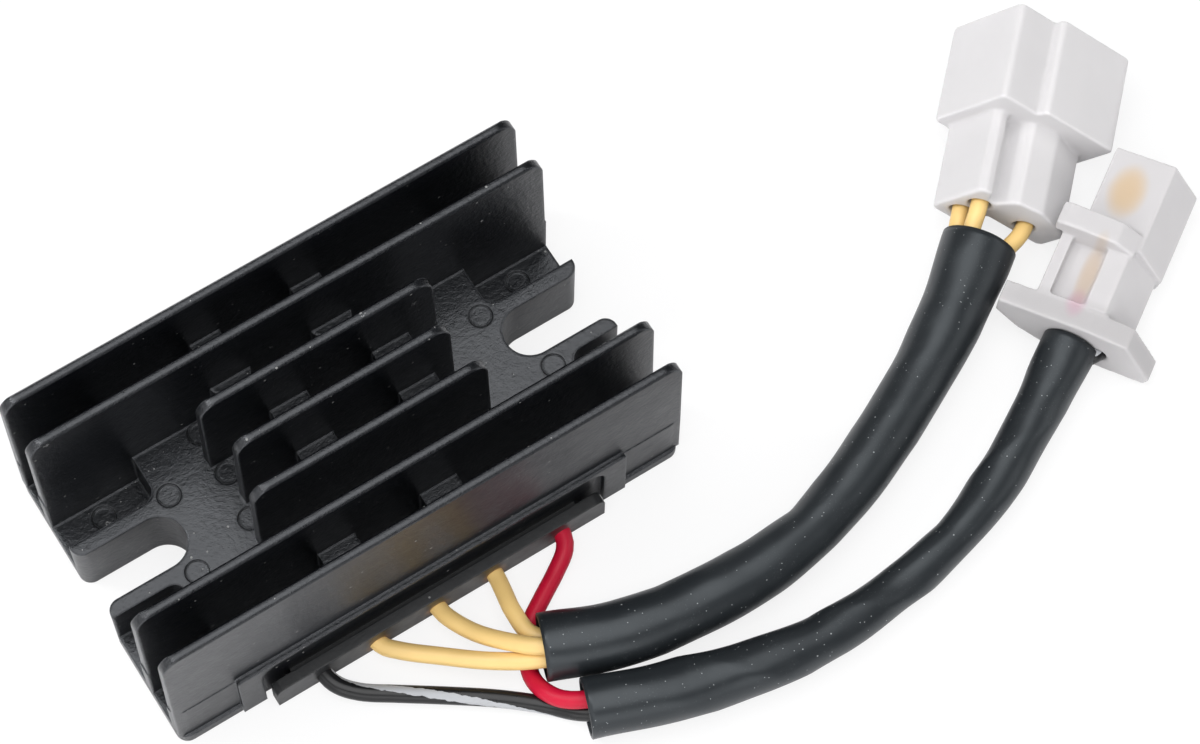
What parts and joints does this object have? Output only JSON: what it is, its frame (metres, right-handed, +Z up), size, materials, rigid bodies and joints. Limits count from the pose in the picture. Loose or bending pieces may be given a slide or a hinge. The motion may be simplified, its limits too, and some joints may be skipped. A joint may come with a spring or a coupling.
{
  "type": "voltage regulator rectifier",
  "caption": "Finned black die-cast voltage regulator rectifier with slotted mounting ears, sleeved leads and two nylon plug connectors.",
  "frame": {"origin": "middle of the casting's mounting face, on the surface it rests on", "axes": "+X along the fins, -Y is the side the leads leave from, +Z up out of the fins"},
  "size_m": [0.1864, 0.093, 0.035],
  "materials": {
    "casting": "satin black paint on a die casting",
    "potting": "black epoxy, semi-matt",
    "substrate": "white ceramic",
    "outlet": "satin black",
    "chips": "moulded black epoxy",
    "diode_glass": "glossy",
    "capacitor": "glossy sleeve",
    "copper": "tinned copper",
    "yellow_insulation": "satin PVC",
    "red_insulation": "satin PVC",
    "black_insulation": "satin PVC with a grey stripe",
    "sleeve": "satin PVC tube",
    "nylon": "milky natural nylon",
    "brass": "plain brass"
  },
  "bodies": {
    "root": {"heat_sink": "casting", "potting_compound": "potting", "circuit_substrate": "substrate", "wire_outlet": "outlet", "thyristor_1": "chips", "thyristor_2": "chips", "thyristor_3": "chips", "rectifier_diode_1": "chips", "rectifier_diode_2": "chips", "rectifier_diode_3": "chips", "control_transistor": "chips", "zener_diode": "diode_glass", "gate_resistors": "chips", "filter_capacitor": "capacitor", "lead_tab_1": "copper", "lead_tab_2": "copper", "lead_tab_3": "copper", "lead_tab_4": "copper", "lead_tab_5": "copper", "yellow_wire_1": "yellow_insulation", "yellow_wire_2": "yellow_insulation", "yellow_wire_3": "yellow_insulation", "red_wire": "red_insulation", "striped_wire": "black_insulation", "large_sleeve": "sleeve", "small_sleeve": "sleeve", "three_way_housing": "nylon", "two_way_housing": "nylon", "three_way_terminal_1": "brass", "three_way_terminal_2": "brass", "three_way_terminal_3": "brass", "two_way_terminal_1": "brass", "two_way_terminal_2": "brass"}
  },
  "joints": []
}
